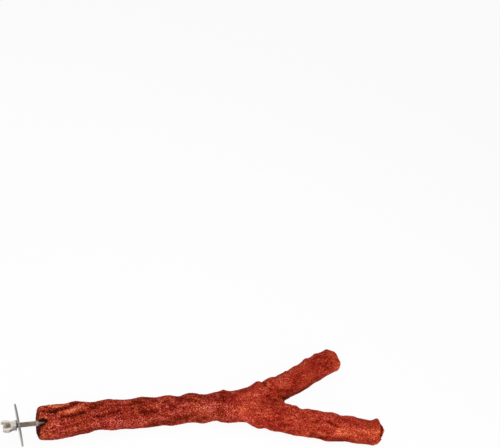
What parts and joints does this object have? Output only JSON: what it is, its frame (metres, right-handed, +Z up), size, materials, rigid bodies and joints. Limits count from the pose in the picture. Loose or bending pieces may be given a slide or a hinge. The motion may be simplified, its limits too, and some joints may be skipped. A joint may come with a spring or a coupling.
{
  "type": "bird perch",
  "caption": "Forked bird perch with a rough chewable coating, clamped to cage wires by a hanger bolt, a wide washer and a wing nut.",
  "frame": {"origin": "on the axis of the hanger bolt, in the plane of the trunk's end, at the middle of the wire groove's mouth", "axes": "+X along the bolt into the trunk, towards the fork; +Y to the left prong's side; +Z up as the perch lies on a table"},
  "size_m": [0.3207, 0.106, 0.0333],
  "materials": {
    "coating": "matte granular, cracked and pitted",
    "wood": "raw",
    "bolt_steel": "dull zinc",
    "washer_steel": "satin zinc",
    "nut_plating": "bright zinc"
  },
  "bodies": {
    "perch": {"branch_core": "wood", "chew_coating": "coating", "hanger_bolt": "bolt_steel"},
    "washer": {"washer": "washer_steel"},
    "wing_nut": {"wing_nut": "nut_plating"}
  },
  "joints": [
    {"name": "washer_travel", "type": "slide", "parent": "perch", "child": "washer", "axis": [1, 0, 0], "range_m": [-0.005, 0.011]},
    {"name": "nut_turn", "type": "hinge", "parent": "washer", "child": "wing_nut", "pos_m": [0, 0, 0], "axis": [1, 0, 0], "range_deg": [-2580, 5665]}
  ],
  "couplings": [
    {"joint": "nut_turn", "follows": "washer_travel", "rad_per_m": 8976}
  ]
}
